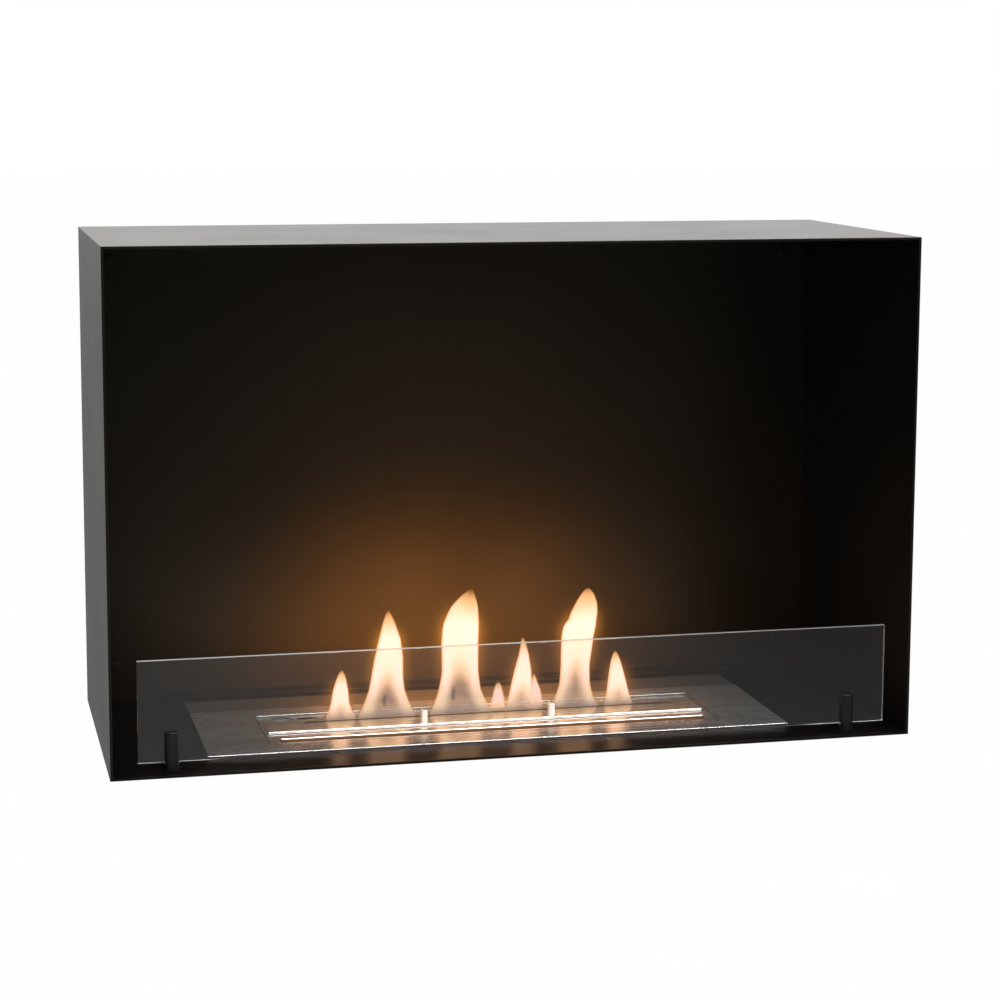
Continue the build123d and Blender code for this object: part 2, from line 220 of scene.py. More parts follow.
class Finish(Sheet):
    """A material, with the patterns that several finishes share."""

    def __init__(self, name):
        self.material = bpy.data.materials.new(name)
        super().__init__(self.material, "ShaderNodeOutputMaterial")
        self.place = self.node("ShaderNodeTexCoord", output="Object")

    def noise(self, scale, detail=2.0, stretch=(1, 1, 1)):
        """Cloudy noise from 0 to 1, stretched along an axis by a small number there."""
        at = self.node("ShaderNodeMapping", inputs={"Vector": self.place, "Scale": stretch})
        settings = {"Vector": at, "Scale": scale, "Detail": detail}
        return self.node("ShaderNodeTexNoise", inputs=settings)

    def ramp(self, value, *stops):
        """A colour that follows a value from stop to stop."""
        return self.node("ShaderNodeValToRGB", {"stops": stops}, {0: value})

    def bump(self, height, strength, depth):
        """A surface that looks raised where the height is."""
        settings = {"Height": height, "Strength": strength, "Distance": depth}
        return self.node("ShaderNodeBump", inputs=settings)

    def principled(self, **sockets):
        """The main shader. A socket's name is written with _ for its spaces."""
        inputs = {name.replace("_", " "): value for name, value in sockets.items()}
        return self.node("ShaderNodeBsdfPrincipled", inputs=inputs)


print("ready to wire", Sheet.__name__, "and", Finish.__name__)

# %% [markdown]
# ## The studio
#
# The picture is a catalogue cut-out: all white round the object, yet the inside of the
# box is nearly black, because hardly any light comes from where the camera stands. An
# evenly white room would fill the box with light. So the room is white where the camera
# looks at it directly. What lights the box is bright behind, where the outside of the box
# mirrors it at a grazing angle, and nearly dark in front.

# %% The room's light
room_colour = (1.0, 0.995, 0.985, 1)
light_all_round, light_behind, light_above = 0.04, 1.30, 0.20

room = bpy.data.worlds.new("room")
scene.world = room
walls = Sheet(room, "ShaderNodeOutputWorld")
_, to_the_back, upwards = walls.split(walls.node("ShaderNodeTexCoord", output="Generated"))
behind = walls.smooth(to_the_back, -0.1, 0.7)
above = walls.smooth(upwards, 0.2, 0.9)
brightness = light_all_round + behind * light_behind + above * light_above
lit = walls.node("ShaderNodeBackground", inputs={"Color": room_colour, "Strength": brightness})
seen = walls.node("ShaderNodeBackground", inputs={"Color": (1, 1, 1, 1), "Strength": 1.0})
looked_at = walls.node("ShaderNodeLightPath", output="Is Camera Ray")
walls.finish(walls.layered(looked_at, lit, seen))
print("room light behind and above:", light_behind, light_above)

# %% [markdown]
# ## The floor
#
# The floor is white paper. The pane of glass mirrors the paper in front of it, which is
# what makes the glass show as a grey veil, and the side of the box mirrors the paper behind
# it. That mirrored paper is darker far out in front and to the right, where the veil is
# thinner. The camera sees the paper as white as the room, so that no horizon shows.

# %% The floor
floor_drop, floor_size = 0.45, 60
floor_height = cad_bounds[0][2] - floor_drop
mirrored_glow = 0.25

bpy.ops.object.select_all(action="DESELECT")
bpy.ops.mesh.primitive_plane_add(size=floor_size, location=(0, 0, floor_height))
studio_floor = bpy.context.object
studio_floor.name = "studio_floor"

paper = Finish("studio_paper")
grain = paper.noise(3.0, 3.0)
paper_x, paper_y, _ = paper.split(paper.place)
near_the_box = paper.smooth(paper_y, -5.5, -2.0)
to_the_left = 1 - paper.smooth(paper_x, -0.4, 2.0) * 0.75
bright_paper = paper.between(grain, (0.96, 0.96, 0.95, 1), (1, 1, 0.99, 1))
white_paper = paper.between(grain, (0.985, 0.985, 0.985, 1), (1, 1, 1, 1))
mirrored_paper = paper.principled(
    Base_Color=(0.10, 0.10, 0.10, 1), Roughness=0.9, Emission_Strength=mirrored_glow,
    Emission_Color=paper.between(near_the_box * to_the_left, (0.08, 0.08, 0.08, 1), bright_paper))
seen_paper = paper.principled(
    Base_Color=(0, 0, 0, 1), Roughness=1.0, Specular_IOR_Level=0.0,
    Emission_Color=white_paper, Emission_Strength=1.0)
paper_looked_at = paper.node("ShaderNodeLightPath", output="Is Camera Ray")
paper.finish(paper.layered(paper_looked_at, mirrored_paper, seen_paper))
studio_floor.data.materials.append(paper.material)
print("studio floor at z =", round(floor_height, 3))

# %% [markdown]
# ## One soft box
#
# The main lamp is a soft box that hangs in front, high up and to the right. It reaches the
# burner but not the back wall, and it draws a bright line along every rolled edge. How
# high it hangs matters: any lower, and its light would grey the black wall. The picture
# shows its colours as they are, or the white paper would turn grey.

# %% The soft box
def soft_box(name, place, aim, width, length, power, colour=(1, 1, 1)):
    """A rectangular lamp that the camera can't see."""
    bpy.ops.object.light_add(type="AREA", location=place)
    lamp = bpy.context.object
    lamp.name = name
    lamp.rotation_euler = (Vector(aim) - Vector(place)).to_track_quat("-Z", "Y").to_euler()
    lamp.data.shape = "RECTANGLE"
    lamp.data.size = width
    lamp.data.size_y = length
    lamp.data.energy = power
    lamp.data.color = colour
    lamp.visible_camera = False
    return lamp


big_panel = {"place": (0.55, -1.55, 1.95), "aim": (0.0, -0.25, -0.28), "width": 1.4, "length": 0.7}
soft_box("soft_box", **big_panel, power=42)
scene.view_settings.view_transform = "Standard"

# %% [markdown]
# ## A lens that glows a little
#
# A camera that looks at a flame gets a warm haze round it, because bright light scatters
# in the lens. What is brighter than white is cut out of the render, blurred twice, a
# little and a lot, tinted and laid over it again. Only its red is kept, because the tint
# brings the colour. The paper round the box is just white, so it doesn't glow.

# %% The haze
white_limit = 1.1
near_halo = (18, (2.00, 0.69, 0.12, 1))
far_halo = (44, (0.40, 0.135, 0.015, 1))
lens = Sheet(scene, "CompositorNodeComposite")
picture = lens.node("CompositorNodeRLayers")


def lens_mix(blend, first, second, clamp=False):
    """Two pictures, or a picture and a colour, as one."""
    settings = {"blend_type": blend, "use_clamp": clamp}
    return lens.node("CompositorNodeMixRGB", settings, {0: 1.0, 1: first, 2: second})


brighter = lens_mix("SUBTRACT", picture, (white_limit, white_limit, white_limit, 1), clamp=True)
red_only = lens.node("CompositorNodeSeparateColor", inputs={0: brighter})
hazy = picture
for spread, tint in (near_halo, far_halo):
    blur_settings = {"filter_type": "FAST_GAUSS", "size_x": spread, "size_y": spread}
    blurred = lens.node("CompositorNodeBlur", blur_settings, {"Image": red_only})
    hazy = lens_mix("ADD", hazy, lens_mix("MULTIPLY", blurred, tint))
lens.finish(hazy, "Image")
print("haze blurred over", near_halo[0], "and", far_halo[0], "pixels")

# %% [markdown]
# ## Satin powder coat
#
# The box is sheet steel, sprayed with dry powder and baked. The coat is nearly black and
# satin, with the fine pebbling that painters call orange peel. A flat black would look
# like a hole in the picture, so the colour and the gloss both wander a little, and a very
# shallow bump breaks up the highlights. What the coat mirrors is tinted warm, which keeps
# the light of the flames orange on the back wall. The floor round the burner is painted
# darker than the rest, as painted shade, and mirrors less, or it would show as a grey strip.

# %% Powder coat
peel_depth = 0.0002


def powder_coat(name, deep, pale, rough, shine=0.5, shine_tint=(1, 1, 1)):
    """A coat that wanders between two blacks. Shine is how strongly it mirrors."""
    coat = Finish(name)
    clouds = coat.noise(7.0, 4.0)
    speckle = coat.noise(900.0, 2.0)
    peel = coat.noise(520.0, 2.0)
    shade = clouds * 0.7 + speckle * 0.3
    coat.finish(coat.principled(
        Base_Color=coat.between(shade, (*deep, 1), (*pale, 1)),
        Roughness=rough + clouds * 0.10 + speckle * 0.06,
        Specular_IOR_Level=shine, Specular_Tint=(*shine_tint, 1),
        Normal=coat.bump(peel, 0.25, peel_depth)))
    return coat.material


warm_shine = (1.0, 0.88, 0.66)
casing_black = powder_coat(
    "casing_black", (0.0050, 0.0049, 0.0047), (0.0086, 0.0084, 0.0081),
    rough=0.27, shine_tint=warm_shine)
# Painted shade: a darker copy of the casing's coat, for the floor round the burner.
floor_shaded_black = powder_coat(
    "floor_shaded_black", (0.0030, 0.0029, 0.0028), (0.0052, 0.0050, 0.0048),
    rough=0.22, shine=0.22, shine_tint=warm_shine)
post_black = powder_coat("post_black", (0.012, 0.012, 0.012), (0.020, 0.020, 0.019), rough=0.34)
print("powder coats:", casing_black.name, floor_shaded_black.name, post_black.name)

# %% [markdown]
# ## Brushed and bright stainless steel
#
# The burner's top plates are brushed along their length. The scratches are far finer than
# a pixel, so they are noise stretched until it is nearly a line: it streaks the colour,
# roughens the gloss and tilts the surface across the brushing, which is why the flames'
# reflections run down the steel in streaks. Rolled edges and rims are smooth, so the
# scratches show only on what lies flat, and faces that stand upright are painted dark, as
# painted shade.
# Next to the flame slot the heat has given the steel a faint straw tint. The comb of the
# air grille and the pins are polished, the tabs are blasted to a pale satin, the strip
# behind the burner is darkened, and the tank below is painted dark, as painted shade for
# what shows of it through the slots. The comb's rolled edge carries painted shadows between
# its ribs on its front and its underside, laid as a sine wave along it.

# %% Stainless steel
wick_low, wick_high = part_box("ceramic_wick")
slot_line = (wick_low.y + wick_high.y) / 2
rib_pitch = 0.0024
scratch_depth = 0.0002
straw = (0.55, 0.43, 0.27, 1)
# The colour of the painted shadow between the comb's ribs.
rib_shadow_colour = (0.05, 0.045, 0.04, 1)
# The colour of the painted shade on faces that stand upright.
upright_shade_colour = (0.03, 0.028, 0.026, 1)


def stainless(name, dark, light, rough, streaks, metal, heat=0.0, edges=0.80, rib_shadows=0.0):
    """Steel between two greys. Streaks, heat, edges and rib shadows say how much shows of each:
    edges is the painted shade on upright faces, and the rib shadows are painted shade too.
    """
    steel = Finish(name)
    fine = steel.noise(1.0, 3.0, (7, 1900, 1900))
    broad = steel.noise(1.0, 2.0, (2.5, 260, 260))
    clouds = steel.noise(11.0, 3.0)
    _, _, facing_up = steel.split(steel.node("ShaderNodeTexCoord", output="Normal"))
    along, across, _ = steel.split(steel.place)
    flat = steel.smooth(abs(facing_up), 0.990, 0.9998)
    brushing = (fine * 0.55 + broad * 0.45 - 0.5) * flat * streaks + 0.5
    tone = steel.between(brushing * 0.7 + clouds * 0.3, (*dark, 1), (*light, 1))
    heated = (1 - steel.smooth(abs(across - slot_line), 0.005, 0.030)) * heat
    tone = steel.between(heated, tone, straw)
    # Painted shadow between ribs, on the front and the underside of a rolled edge.
    if rib_shadows:
        ridge = (along * (2 * math.pi / rib_pitch)).sine()
        shaded_front_and_under = 1 - steel.smooth(facing_up, -0.2, 0.75)
        rib_shade = steel.smooth(ridge, -0.1, 0.6) * shaded_front_and_under * rib_shadows
        tone = steel.between(rib_shade, tone, rib_shadow_colour)
    # Painted shade: faces that stand upright are darkened, as much as edges says.
    upright_painted_shade = (1 - steel.smooth(abs(facing_up), 0.05, 0.40)) * edges
    steel.finish(steel.principled(
        Base_Color=steel.between(upright_painted_shade, tone, upright_shade_colour),
        Metallic=metal,
        Roughness=rough + (brushing - 0.5) * 0.16 + (clouds - 0.5) * 0.10,
        Normal=steel.bump(brushing, 0.35, scratch_depth)))
    return steel.material


brushed_stainless = stainless(
    "brushed_stainless", (0.44, 0.44, 0.435), (0.80, 0.80, 0.79),
    rough=0.26, streaks=1.1, metal=0.91, heat=0.18)
bright_stainless = stainless(
    "bright_stainless", (0.70, 0.70, 0.69), (0.88, 0.88, 0.87),
    rough=0.20, streaks=0.4, metal=1.0, heat=0.06)
rib_shaded_stainless = stainless(
    "rib_shaded_stainless", (0.70, 0.70, 0.69), (0.88, 0.88, 0.87),
    rough=0.26, streaks=0.4, metal=1.0, heat=0.06, edges=0.15, rib_shadows=0.8)
pale_stainless = stainless(
    "pale_stainless", (0.80, 0.79, 0.77), (0.92, 0.91, 0.89),
    rough=0.50, streaks=0.4, metal=0.25, edges=0.0)
# Painted shade: the tank's steel is kept dark for the recesses it shows in through the burner's
# openings.
tank_steel = stainless(
    "tank_steel", (0.032, 0.031, 0.030), (0.062, 0.060, 0.057),
    rough=0.55, streaks=0.4, metal=0.6)
dark_steel = stainless(
    "dark_steel", (0.13, 0.128, 0.125), (0.24, 0.236, 0.23),
    rough=0.34, streaks=0.9, metal=0.75)
steels = (
    brushed_stainless, bright_stainless, rib_shaded_stainless, pale_stainless, tank_steel, dark_steel)
print("steels:", [steel.name for steel in steels])

# %% [markdown]
# ## The pane of glass
#
# Real toughened glass is clear through its face and bright along its ground edges. One
# shader can't be both, so clear glass is mixed with a frosted shader that a mask lays on
# the edges only. The frost is partly the ground edges' own whiteness and partly a painted
# highlight along them. The mask comes from the pane's own size. The top edge is painted
# fainter to the right, as painted shade, and the foot is painted bright past the ends of
# the burner alone. In front of the burner the foot lies in shade, so a third, dark shader
# draws it as a thin line of painted shade. Faint wiping marks keep the face from being
# perfectly clean.

# %% Glass
pane_low, pane_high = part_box("glass_pane")
edge_width = 0.0008
burner_end = 0.33
side_frost, foot_frost = 0.25, 0.4

pane = Finish("pane_glass")
wiping = pane.noise(2.0, 3.0, (5, 1, 14))
clear = pane.principled(
    Base_Color=pane.between(wiping, (0.975, 0.985, 0.98, 1), (0.985, 0.995, 0.99, 1)),
    Roughness=0.002 + wiping * 0.004, IOR=1.52, Transmission_Weight=1.0)
frost = pane.noise(900.0, 2.0)
ground = pane.principled(
    Base_Color=pane.between(frost, (0.74, 0.80, 0.78, 1), (0.90, 0.94, 0.93, 1)),
    Roughness=0.25 + frost * 0.2, IOR=1.52)
shaded_foot = pane.principled(
    Base_Color=pane.between(frost, (0.010, 0.010, 0.010, 1), (0.020, 0.020, 0.019, 1)),
    Roughness=0.6)
print("pane is", round(pane_high.x - pane_low.x, 3), "m long")

# %% Where the edges are
pane_x, _, pane_z = pane.split(pane.place)
at_side = pane.smooth(abs(pane_x), pane_high.x - edge_width, pane_high.x - edge_width / 2)
at_top = pane.smooth(pane_z, pane_high.z - edge_width / 2, pane_high.z - edge_width / 4)
at_foot = 1 - pane.smooth(pane_z, pane_low.z + edge_width / 2, pane_low.z + edge_width)
# Painted shade: the top edge's frost fades towards the right.
painted_shade_to_right = 1 - pane.smooth(pane_x, -0.20, 0.35) * 0.55
past_burner = pane.smooth(abs(pane_x), burner_end - 0.02, burner_end + 0.02)
# Partly the ground edges' frost, partly a painted highlight; the foot's share is painted light
# past the burner.
frost_and_highlight = at_side * side_frost + at_top * painted_shade_to_right + at_foot * past_burner * foot_frost
bright_edges = pane.layered(frost_and_highlight, clear, ground)
# Painted shade: the foot in front of the burner takes the dark shader.
pane.finish(pane.layered(at_foot * (1 - past_burner), bright_edges, shaded_foot))
pane_glass = pane.material
print("the pane's edges are", edge_width * 1000, "mm wide")

# %% [markdown]
# ## The small finishes
#
# Three finishes show only on small pieces: the clear silicone pads in the posts, the zinc
# of the screws under the floor, and the matted ceramic fibre that soaks up the fuel, black
# where it has charred. Each is one noise or two on the main shader.

# %% Silicone, zinc and fibre
silicone = Finish("clear_silicone")
cloudy = silicone.noise(300.0, 3.0)
silicone.finish(silicone.principled(
    Base_Color=silicone.between(cloudy, (0.60, 0.62, 0.62, 1), (0.74, 0.76, 0.76, 1)),
    Roughness=0.35 + cloudy * 0.2))

zinc = Finish("screw_zinc")
spangle = zinc.noise(700.0, 2.0)
zinc.finish(zinc.principled(
    Base_Color=zinc.between(spangle, (0.42, 0.43, 0.45, 1), (0.62, 0.63, 0.66, 1)),
    Metallic=1.0, Roughness=0.25 + spangle * 0.25, Normal=zinc.bump(spangle, 0.2, 0.0001)))

fibre = Finish("ceramic_fibre")
felt = fibre.noise(260.0, 5.0, (0.5, 1, 1))
char = fibre.smooth(fibre.noise(40.0, 3.0), 0.30, 0.55)
fibre_tone = fibre.between(felt, (0.20, 0.19, 0.17, 1), (0.42, 0.40, 0.37, 1))
fibre.finish(fibre.principled(
    Base_Color=fibre.between(char, fibre_tone, (0.035, 0.030, 0.026, 1)),
    Roughness=0.95, Normal=fibre.bump(felt, 0.8, 0.0008)))
print("small finishes:", silicone.material.name, zinc.material.name, fibre.material.name)

# %% [markdown]
# ## Dressing the solids
#
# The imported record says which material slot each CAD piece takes. A dictionary from slot to
# finish is nearly all that is needed: each piece keeps its mesh, and only the material in
# its slot changes. Three pieces look unlike the others in their slot, so they get a finish
# of their own. The pane throws no shadow, because the renderer would take clear glass for a
# dark sheet and shade the burner behind it.

# %% Dress every piece
slot_finishes = {
    "casing_black": casing_black,
    "post_black": post_black,
    "brushed_stainless": brushed_stainless,
    "bright_stainless": bright_stainless,
    "tank_steel": tank_steel,
    "dark_steel": dark_steel,
    "pane_glass": pane_glass,
    "clear_silicone": silicone.material,
    "screw_zinc": zinc.material,
    "ceramic_fibre": fibre.material,
}
own_finishes = {
    "shutter_tabs": pale_stainless,
    "air_grille": rib_shaded_stainless,
    "floor_panel": floor_shaded_black,
}
subparts = frame["record"]["subparts"]
for part in subparts:
    piece = frame["nodes"][part["node"]]
    slot_finish = slot_finishes[part["material_slot"]]
    piece.data.materials.clear()
    piece.data.materials.append(own_finishes.get(part["node"], slot_finish))
frame["nodes"]["glass_pane"].visible_shadow = False
print("dressed", len(subparts), "pieces,", len(own_finishes), "with a finish of their own")

# %% [markdown]
# ## Caps over the wall screws
#
# The box hangs on four screws through its back. On the wall a black cap hides each one, or
# the white room would shine in through the holes. The cap is a flat disc with a soft rim
# and a plug behind it: the back of a disc is inset and extruded, and the rim of its front
# is bevelled.

# %% A cap
back_sheet = 0.002
back_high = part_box("back_panel")[1]
panel_face = back_high.y - back_sheet
hole_radius, cap_radius, cap_depth = 0.0035, 0.0062, 0.0014
plug_play, plug_length, rim_bevel = 0.0002, 0.0015, 0.0007


def select_faces(piece, wanted):
    """Selects the faces whose normals are wanted, and goes on in edit mode."""
    bpy.ops.object.mode_set(mode="OBJECT")
    for face in piece.data.polygons:
        face.select = wanted(face.normal)
    bpy.ops.object.mode_set(mode="EDIT")


bpy.ops.object.select_all(action="DESELECT")
bpy.ops.mesh.primitive_cylinder_add(
    vertices=48, radius=cap_radius, depth=cap_depth, location=(0, panel_face - cap_depth / 2, 0),
    rotation=(math.radians(90), 0, 0))
cap = bpy.context.object
bpy.ops.object.transform_apply(location=True, rotation=True, scale=False)
bpy.ops.object.mode_set(mode="EDIT")
bpy.ops.mesh.select_all(action="DESELECT")
bpy.ops.mesh.select_mode(type="FACE")
select_faces(cap, lambda normal: normal.y > 0.9)
bpy.ops.mesh.inset(thickness=cap_radius - hole_radius + plug_play, depth=0)
bpy.ops.mesh.extrude_region_move(TRANSFORM_OT_translate={"value": (0, plug_length, 0)})
select_faces(cap, lambda normal: normal.y < -0.9)
bpy.ops.mesh.bevel(offset=rim_bevel, segments=4, affect="EDGES")
bpy.ops.object.mode_set(mode="OBJECT")
bpy.ops.object.shade_smooth_by_angle(angle=math.radians(35))
cap.data.materials.append(casing_black)
print("a cap", round(cap_radius * 2000, 1), "mm across")

# %% Its four copies
hole_across, hole_up = 0.415, 0.2445
caps = []
for x in (-hole_across, hole_across):
    for z in (-hole_up, hole_up):
        piece = cap.copy()
        piece.data = cap.data.copy()
        scene.collection.objects.link(piece)
        piece.name = f"wall_screw_cap_{len(caps) + 1}"
        piece.data.transform(Matrix.Translation((x, 0, z)))
        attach(piece, "casing")
        caps.append(piece)
bpy.data.objects.remove(cap)
print("caps:", [piece.name for piece in caps], "on a panel at", round(back_high.y, 4))

# %% [markdown]
# ## Flames
#
# A flame is burning vapour. It is clear and violet just over the slot, hollow for the
# first third of its height, creamy and opaque above that, and orange where its skin thins
# out. A simulated volume could show this, but it can't leave Blender. A closed skin can:
# its shape is drawn as a ring that is extruded up through a few stations, and numbers that
# are stored at each point, such as how far up it is and how far to the side, drive its
# colour. Each flame is given here by its stations, from its foot to its tip.

# %% The stations of each flame
pan_sheet = 0.0012
pan_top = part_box("burner_pan")[0].z + pan_sheet

# Each station is (height above the pan, place along the slot, half width), in millimetres.
flame_stations = {
    "flame_1": [
        (4, -173.4, 16.9), (13, -173.9, 12.8), (22, -174.2, 10.2), (36, -173.5, 8.5),
        (50, -172.6, 4.9), (60, -171.7, 0.6)],
    "flame_2": [
        (4, -119.2, 33.0), (10, -119.6, 29.6), (19, -120.0, 26.0), (33, -119.7, 20.8),
        (47, -119.2, 18.5), (72, -117.1, 16.4), (93, -115.5, 12.5), (111, -116.4, 7.1),
        (127, -117.2, 0.8)],
    "flame_3": [
        (3, -32.0, 36.2), (8, -32.3, 33.4), (14, -32.8, 30.6), (29, -33.4, 24.7),
        (50, -32.9, 21.1), (82, -33.2, 21.4), (107, -31.8, 21.0), (128, -27.8, 15.7),
        (142, -22.4, 6.2), (148, -19.3, 0.8)],
    "flame_4": [
        (4, 12.3, 9.0), (14, 12.3, 7.4), (24, 12.5, 5.4), (32, 12.7, 3.0), (37, 12.8, 0.5)],
    "flame_5": [
        (3, 40.6, 20.5), (9, 40.0, 16.8), (18, 39.4, 13.8), (32, 40.4, 12.0),
        (49, 42.1, 9.7), (68, 43.2, 5.4), (88, 42.4, 0.6)],
    "flame_6": [
        (3, 104.9, 28.0), (8, 104.4, 25.0), (14, 103.9, 22.6), (29, 104.7, 18.2),
        (50, 105.1, 17.0), (79, 107.3, 18.8), (98, 110.6, 19.4), (106, 114.4, 16.2),
        (113, 116.0, 16.0), (126, 119.0, 12.2), (137, 120.3, 6.6), (143, 120.6, 0.8)],
    "flame_7": [
        (3, 158.2, 17.0), (9, 157.8, 14.9), (18, 157.2, 12.8), (40, 155.7, 8.6),
        (55, 154.6, 5.2), (67, 154.2, 0.5)],
    "flame_8": [
        (3, 58.7, 7.3), (12, 58.4, 7.0), (24, 57.4, 6.1), (35, 55.8, 3.3), (44, 55.6, 0.4)],
}
print("tallest flame:", max(stations[-1][0] for stations in flame_stations.values()), "mm")

# %% [markdown]
# ## The skin of a flame
#
# The ring starts as a circle and is squeezed flat. Then it is extruded up to each next
# station and resized there. Subdivision rounds the steps between the stations. The skin
# reaches a little below the pan and a little past each station's width, because it fades
# out there.

# %% Raise a flame
ring_points = 24
foot_drop = 0.0035
foot_narrowing = 0.97
soft_edge = 0.0012
thinnest, depth_by_width = 0.0026, 0.12
slot_half_depth, depth_by_height = 0.0044, 0.2


def half_depth(half_width, height):
    """A flame is flatter than it is wide, and at its foot no deeper than the slot."""
    free = thinnest + depth_by_width * half_width
    over_slot = slot_half_depth + depth_by_height * max(0.0, height - pan_top)
    return min(free, over_slot)


def raise_flame(name, stations):
    """A closed skin, extruded ring by ring from the slot to its tip."""
    metres = [
        (pan_top + rise / 1000, along / 1000, half / 1000 + soft_edge)
        for rise, along, half in stations]
    height, along, half = metres[0]
    metres.insert(0, (pan_top - foot_drop, along, half * foot_narrowing))
    height, along, half = metres[0]
    bpy.ops.object.select_all(action="DESELECT")
    bpy.ops.mesh.primitive_circle_add(
        vertices=ring_points, radius=half, fill_type="NGON", location=(along, slot_line, height))
    skin = bpy.context.object
    skin.name = name
    bpy.ops.object.transform_apply(location=True, rotation=False, scale=False)
    bpy.ops.object.mode_set(mode="EDIT")
    bpy.ops.mesh.select_all(action="SELECT")
    squeeze = half_depth(half, height) / half
    bpy.ops.transform.resize(value=(1, squeeze, 1), center_override=(along, slot_line, height))
    for next_height, next_along, next_half in metres[1:]:
        step = (next_along - along, 0, next_height - height)
        bpy.ops.mesh.extrude_region_move(TRANSFORM_OT_translate={"value": step})
        deeper = half_depth(next_half, next_height) / half_depth(half, height)
        centre = (next_along, slot_line, next_height)
        bpy.ops.transform.resize(value=(next_half / half, deeper, 1), center_override=centre)
        height, along, half = next_height, next_along, next_half
    bpy.ops.mesh.select_all(action="SELECT")
    bpy.ops.mesh.normals_make_consistent(inside=False)
    bpy.ops.object.mode_set(mode="OBJECT")
    rounded = skin.modifiers.new("rounded", "SUBSURF")
    rounded.levels = rounded.render_levels = 2
    bpy.ops.object.modifier_apply(modifier=rounded.name)
    bpy.ops.object.shade_smooth()
    return skin, metres


print("a flame is a ring of", ring_points, "points, raised from", foot_drop, "m below the pan")

# %% [markdown]
# ## Numbers for the colour
#
# Each point of a skin notes six numbers: its rise from 0 at the pan to 1 at the tip, its
# side from -1 to 1, its margin and its foot, which are the millimetres to the side edge and
# down to the pan, and two that belong to the whole flame, the side where its dark spindle
# stands and its strength. All six attributes are made before any is filled, because a new
# attribute can move the others in memory.

# %% Note the places, and raise them all
flame_notes = ("rise", "side", "margin", "spindle", "foot", "strength")


def note_places(skin, stations, spindle_side, own_strength):
    """Stores the six numbers at each point of a skin."""
    for note in flame_notes:
        skin.data.attributes.new(note, "FLOAT", "POINT")
    rises, sides, margins, spindle_sides, feet, strengths = (
        skin.data.attributes[note].data for note in flame_notes)
    low, high = stations[0][0], stations[-1][0]
    for i, point in enumerate(skin.data.vertices):
        z = min(max(point.co.z, low), high)
        upper = next(n for n, station in enumerate(stations) if n and z <= station[0])
        (z0, x0, w0), (z1, x1, w1) = stations[upper - 1], stations[upper]
        share = (z - z0) / (z1 - z0)
        middle, half = x0 + (x1 - x0) * share, w0 + (w1 - w0) * share
        rises[i].value = (z - pan_top) / (high - pan_top)
        sides[i].value = (point.co.x - middle) / half
        margins[i].value = 1000 * (half - abs(point.co.x - middle))
        spindle_sides[i].value = spindle_side
        feet[i].value = 1000 * (z - pan_top)
        strengths[i].value = own_strength


outside_the_flame = 9.0
spindles = {"flame_2": -0.12, "flame_3": -0.32}
faint_flames = {"flame_4": 0.55, "flame_8": 0.60}
flames = []
for name, stations in flame_stations.items():
    skin, metres = raise_flame(name, stations)
    note_places(skin, metres, spindles.get(name, outside_the_flame), faint_flames.get(name, 1.0))
    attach(skin, "burner")
    skin.visible_shadow = False
    flames.append(skin)
print("flames:", {f.name: len(f.data.polygons) for f in flames})

# %% [markdown]
# ## The colour of a flame
#
# The colour is built from the stored numbers. Up the middle it goes from a violet haze,
# through a dim hollow that only broad flames have, to cream. The skirts at both sides are
# brighter than the hollow, and two of the flames have a dark spindle low in it. Noise
# stretched upwards keeps the borders from being ruled lines.

# %% Body and skirts
burning = Finish("flame")
rise, side, margin, spindle, foot, strength = (
    burning.node("ShaderNodeAttribute", {"attribute_name": note}, output="Fac")
    for note in flame_notes)
wisps = burning.noise(42.0, 3.0, (1, 1, 0.3)) - 0.5
height = rise + wisps * 0.14
inside = margin + wisps * 1.4
cream = (1.00, 0.585, 0.500)

deep_middle = burning.ramp(
    height,
    (0.00, (0.22, 0.155, 0.140)), (0.06, (0.26, 0.180, 0.150)), (0.11, (0.34, 0.225, 0.155)),
    (0.175, (0.26, 0.162, 0.120)), (0.26, (0.33, 0.195, 0.115)), (0.34, (0.60, 0.375, 0.195)),
    (0.46, (0.88, 0.560, 0.420)), (0.60, cream))
shallow_middle = burning.ramp(
    height,
    (0.00, (0.36, 0.250, 0.210)), (0.08, (0.52, 0.350, 0.250)), (0.18, (0.70, 0.460, 0.300)),
    (0.30, (0.88, 0.540, 0.390)), (0.42, cream))
middle = burning.between(burning.smooth(margin, 6.0, 23.0), shallow_middle, deep_middle)
low_skirt = burning.between(
    burning.smooth(foot, 1.0, 16.0), (0.30, 0.21, 0.175, 1), (0.66, 0.46, 0.29, 1))
bright_skirt = burning.between(burning.smooth(height, 0.10, 0.38), low_skirt, (*cream, 1))
skirt = burning.smooth(abs(side + wisps * 0.10), 0.36, 0.80)
body = burning.between(skirt, middle, bright_skirt)
low_inside = burning.smooth(rise, 0.11, 0.15) * (1 - burning.smooth(rise, 0.20, 0.26))
dark_core = low_inside * (1 - burning.smooth(abs(side - spindle), 0.03, 0.12)) * 0.8
body = burning.between(dark_core, body, (0.05, 0.045, 0.055, 1))
print("the colour of a flame reads", flame_notes)

# %% [markdown]
# ## The tip and the margin
#
# Towards the tip the cream turns orange, and in the last few millimetres of the margin the
# skin turns amber. It fades away there, at the tip and at the foot, and its middle is
# clearer low down than high up.

# %% Tip, margin and how solid it is
towards_tip = burning.ramp(
    height,
    (0.72, cream), (0.82, (0.80, 0.535, 0.370)), (0.90, (0.72, 0.420, 0.205)),
    (1.00, (0.62, 0.250, 0.062)))
body = burning.between(burning.smooth(height, 0.70, 0.76), body, towards_tip)
amber = burning.between(
    burning.smooth(foot, 2.0, 14.0), (0.40, 0.255, 0.155, 1), (0.66, 0.290, 0.080, 1))
glow = burning.between(1 - burning.smooth(inside, 0.4, 3.2), body, amber)

